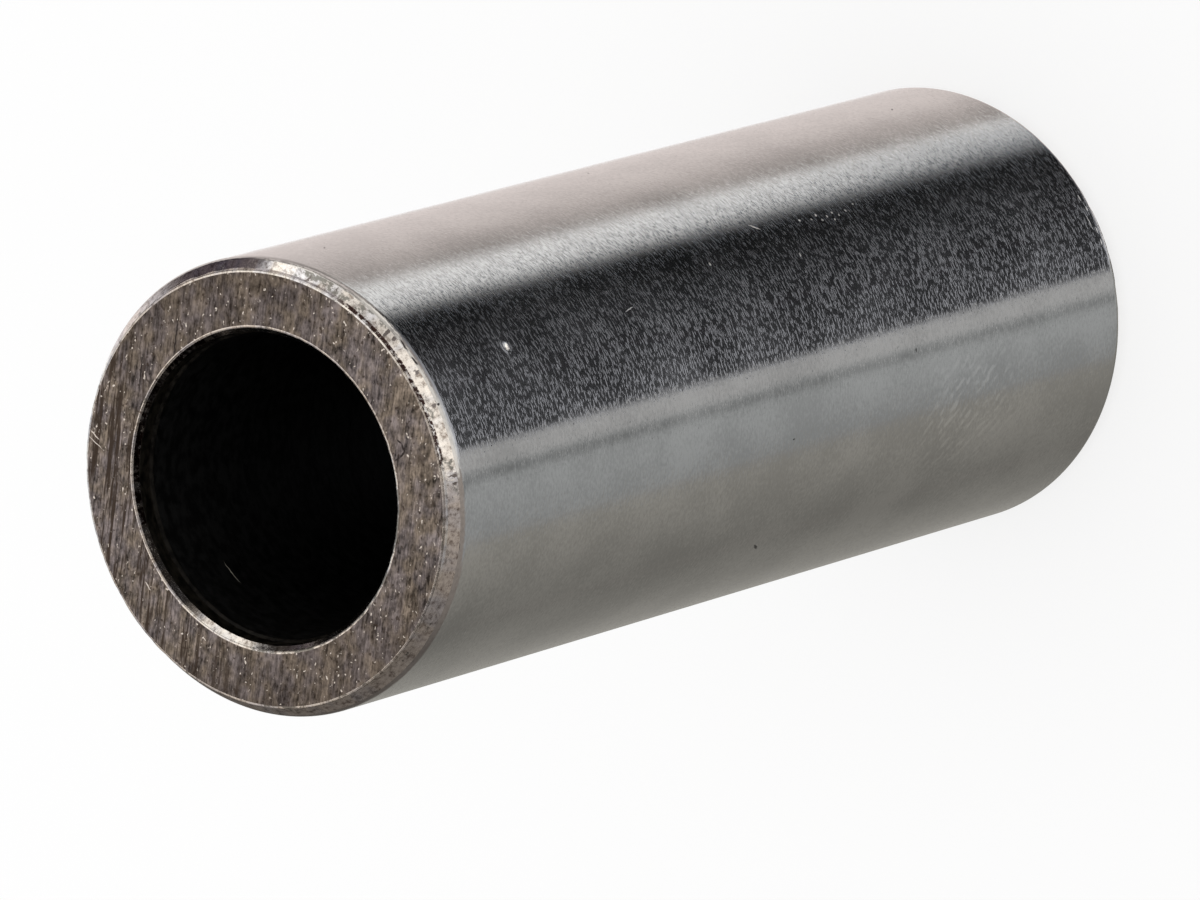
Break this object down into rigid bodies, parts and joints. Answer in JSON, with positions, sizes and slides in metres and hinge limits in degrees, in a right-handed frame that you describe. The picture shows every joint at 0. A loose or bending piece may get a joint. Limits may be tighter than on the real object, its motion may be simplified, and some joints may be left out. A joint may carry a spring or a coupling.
{
  "type": "gudgeon pin",
  "caption": "Hollow ground steel pin with chamfered ends and a through bore, joining a piston to its connecting rod.",
  "frame": {"origin": "centre of the lower end face, on the pin's axis", "axes": "+Z along the pin's axis, from the lower end face to the upper one; the pin is round, so X and Y are free"},
  "size_m": [0.012, 0.012, 0.0315],
  "materials": {
    "ground_steel": "hardened steel, fine ground round the outside, coarser straight grinding marks on the end faces"
  },
  "bodies": {
    "root": {"gudgeon_pin": "ground_steel"}
  },
  "joints": []
}
